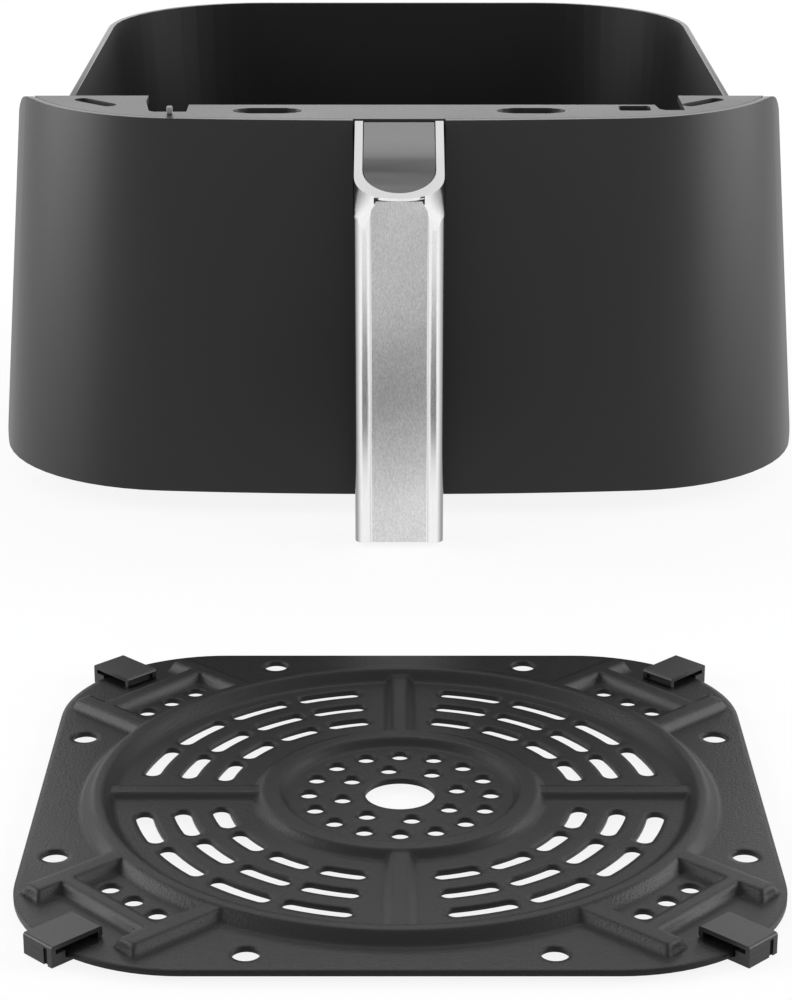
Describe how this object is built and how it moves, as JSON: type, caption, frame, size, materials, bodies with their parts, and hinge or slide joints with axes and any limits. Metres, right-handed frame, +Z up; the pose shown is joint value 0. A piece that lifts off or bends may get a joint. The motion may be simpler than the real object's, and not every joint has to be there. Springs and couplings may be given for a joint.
{
  "type": "air fryer drawer",
  "caption": "Deep square non-stick drawer with a bowed front panel, an upright steel handle and a loose perforated crisper tray on soft corner bumpers.",
  "frame": {"origin": "centre of the pan's underside, on the surface the drawer stands on", "axes": "+Z up, -Y towards the handle and the front panel, +X to the right as seen from the handle"},
  "size_m": [0.3202, 0.66, 0.1562],
  "materials": {
    "nonstick": "non-stick coating, satin",
    "panel": "fine satin",
    "frame": "fine grained",
    "steel": "brushed",
    "handle": "matte",
    "insert": "gloss",
    "tray_coating": "fine grained non-stick coating",
    "silicone": "satin",
    "zinc": "zinc plated",
    "shield": "mill"
  },
  "bodies": {
    "drawer": {"pan": "nonstick", "pan_bracket": "zinc", "bracket_screws": "zinc", "bracket_nuts": "zinc", "heat_shield": "shield", "inner_frame": "frame", "interlock_prong": "frame", "front_panel": "panel", "panel_screws": "zinc", "handle_core": "handle", "handle_shell": "steel", "handle_insert": "insert", "handle_end_cap": "handle", "handle_screws": "zinc", "handle_washers": "zinc"},
    "tray": {"tray_plate": "tray_coating", "bumper_front_left": "silicone", "bumper_front_right": "silicone", "bumper_rear_left": "silicone", "bumper_rear_right": "silicone"}
  },
  "joints": [
    {"name": "tray_lift", "type": "slide", "parent": "drawer", "child": "tray", "axis": [0, 0, 1], "range_m": [0, 0.2]}
  ]
}
